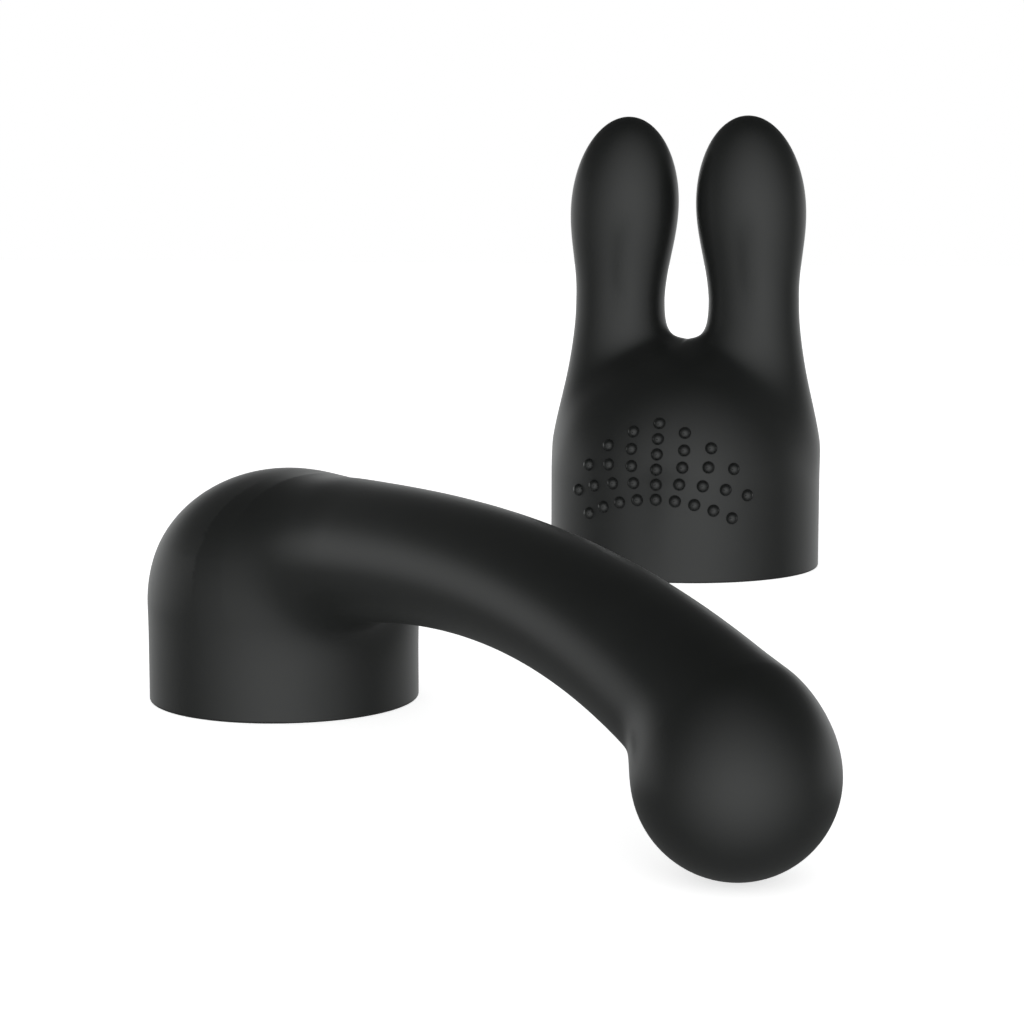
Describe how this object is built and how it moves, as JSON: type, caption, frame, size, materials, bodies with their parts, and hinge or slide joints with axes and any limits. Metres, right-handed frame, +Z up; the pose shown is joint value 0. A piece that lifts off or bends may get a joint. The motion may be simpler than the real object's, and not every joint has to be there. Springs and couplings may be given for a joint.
{
  "type": "wand massager attachment set",
  "caption": "Slip-on silicone heads for a wand massager: a cap with a curved arm and ball tip, and a domed cap with soft ears and a fan of small nubs.",
  "frame": {"origin": "on the floor, under the middle of the pair's overall box", "axes": "+Z up; +Y from the curved head towards the eared head, so the eared head's nubs face -Y and its ears stand apart along X; the curved head's arm points 43.4 degrees from +X towards -Y"},
  "size_m": [0.1376, 0.3186, 0.1086],
  "materials": {
    "black_silicone": "satin, moulded silicone",
    "dark_nylon": "matte, moulded nylon"
  },
  "bodies": {
    "curved_head": {"curve_sleeve": "black_silicone", "curve_core": "dark_nylon"},
    "eared_head": {"eared_sleeve": "black_silicone"},
    "left_ear_flex": {"left_ear": "black_silicone"},
    "right_ear_flex": {"right_ear": "black_silicone"}
  },
  "joints": [
    {"name": "eared_head_lift", "type": "slide", "parent": "curved_head", "child": "eared_head", "axis": [0, 0, 1], "range_m": [0, 0.06]},
    {"name": "left_ear_bend", "type": "hinge", "parent": "eared_head", "child": "left_ear_flex", "pos_m": [-0.02578, 0.12662, 0.063], "axis": [0, -1, 0], "range_deg": [-4, 20], "stiffness_Nm_per_rad": 0.39},
    {"name": "right_ear_bend", "type": "hinge", "parent": "eared_head", "child": "right_ear_flex", "pos_m": [0.00722, 0.12662, 0.063], "axis": [0, 1, 0], "range_deg": [-4, 20], "stiffness_Nm_per_rad": 0.39}
  ]
}
